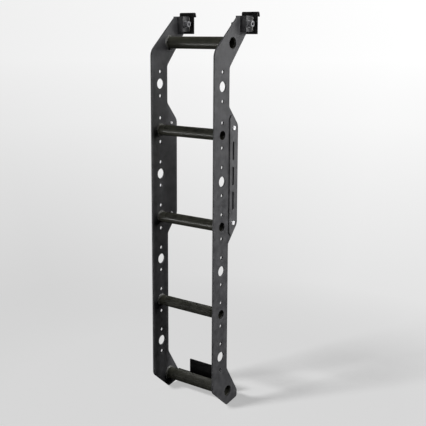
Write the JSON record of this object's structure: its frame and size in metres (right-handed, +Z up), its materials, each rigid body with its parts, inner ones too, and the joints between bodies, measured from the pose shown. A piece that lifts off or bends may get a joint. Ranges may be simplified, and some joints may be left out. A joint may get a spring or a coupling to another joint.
{
  "type": "tailgate ladder",
  "caption": "Narrow ladder of flat cut side plates and round tube rungs, with bolted hooks at its head that hang over a tailgate's edge and an angle bracket behind its foot.",
  "frame": {"origin": "centre of the right hook plate's flat back face", "axes": "+Z up, +X towards the climber's right along the rungs, +Y towards the vehicle"},
  "size_m": [0.3452, 0.1885, 1.3456],
  "materials": {
    "side_plate": "fine matt powder coat",
    "rung": "satin powder coat",
    "foot_bracket": "matt powder coat",
    "wing_panel": "fine matt powder coat",
    "screw": "bright",
    "hook": "satin powder coat",
    "cheek": "satin powder coat",
    "bolt": "blackened shank with a bright rim",
    "washer": "blackened",
    "nut": "blackened"
  },
  "bodies": {
    "root": {"left_side_plate": "side_plate", "right_side_plate": "side_plate", "top_rung": "rung", "second_rung": "rung", "third_rung": "rung", "fourth_rung": "rung", "bottom_rung": "rung", "foot_bracket": "foot_bracket", "left_wing_panel": "wing_panel", "right_wing_panel": "wing_panel", "left_panel_screws": "screw", "right_panel_screws": "screw", "left_hook_plate": "hook", "right_hook_plate": "hook", "left_hook_wide_cheek": "cheek", "right_hook_wide_cheek": "cheek", "left_hook_narrow_cheek": "cheek", "right_hook_narrow_cheek": "cheek", "left_hook_bolt": "bolt", "right_hook_bolt": "bolt", "left_hook_washers": "washer", "right_hook_washers": "washer", "left_hook_nut": "nut", "right_hook_nut": "nut"}
  },
  "joints": []
}
